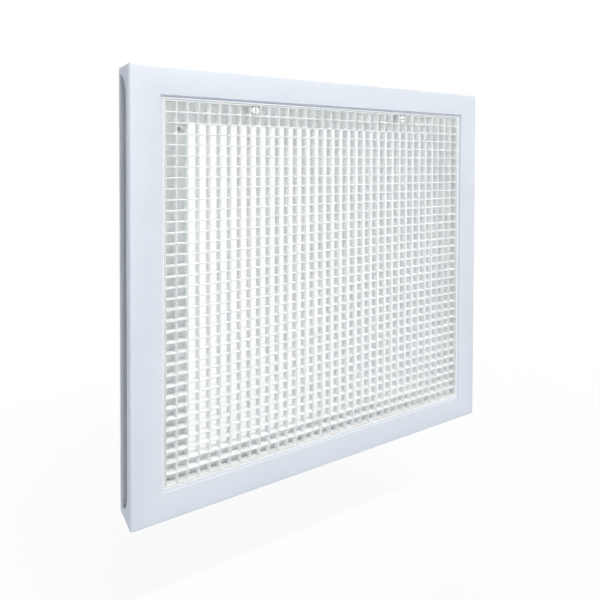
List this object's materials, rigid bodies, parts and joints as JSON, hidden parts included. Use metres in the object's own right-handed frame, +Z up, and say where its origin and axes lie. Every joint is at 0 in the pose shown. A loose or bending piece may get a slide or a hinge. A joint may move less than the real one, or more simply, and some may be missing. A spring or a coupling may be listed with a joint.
{
  "type": "return air filter grille",
  "caption": "Square white plastic return air grille: a deep hollow housing with an egg-crate core that hinges down at its bottom edge and is held by quarter-turn fasteners.",
  "frame": {"origin": "centre of the housing's box, so midway between the front face and the rear face", "axes": "+Y from the front face to the rear, into the wall; +Z up, from the hinge edge to the fasteners; +X to the right as seen from the front"},
  "size_m": [0.522, 0.052, 0.522],
  "materials": {
    "housing_white": "satin bluish white moulded plastic",
    "core_white": "satin white moulded plastic",
    "bush_white": "satin white moulded plastic",
    "stud_white": "smooth white moulded plastic",
    "pin_steel": "dull zinc-plated steel"
  },
  "bodies": {
    "frame": {"housing": "housing_white"},
    "core": {"egg_crate_core": "core_white", "latch_bush_left": "bush_white", "latch_bush_right": "bush_white"},
    "latch_left": {"latch_stud_left": "stud_white", "latch_ring_left": "pin_steel", "latch_cross_pin_left": "pin_steel"},
    "latch_right": {"latch_stud_right": "stud_white", "latch_ring_right": "pin_steel", "latch_cross_pin_right": "pin_steel"}
  },
  "joints": [
    {"name": "core_hinge", "type": "hinge", "parent": "frame", "child": "core", "pos_m": [0, -0.0204, -0.2175], "axis": [1, 0, 0], "range_deg": [0, 120]},
    {"name": "latch_left_turn", "type": "hinge", "parent": "core", "child": "latch_left", "pos_m": [-0.1143, -0.0204, 0.2159], "axis": [0, 1, 0], "range_deg": [0, 90]},
    {"name": "latch_right_turn", "type": "hinge", "parent": "core", "child": "latch_right", "pos_m": [0.1143, -0.0204, 0.2159], "axis": [0, 1, 0], "range_deg": [0, 90]}
  ]
}
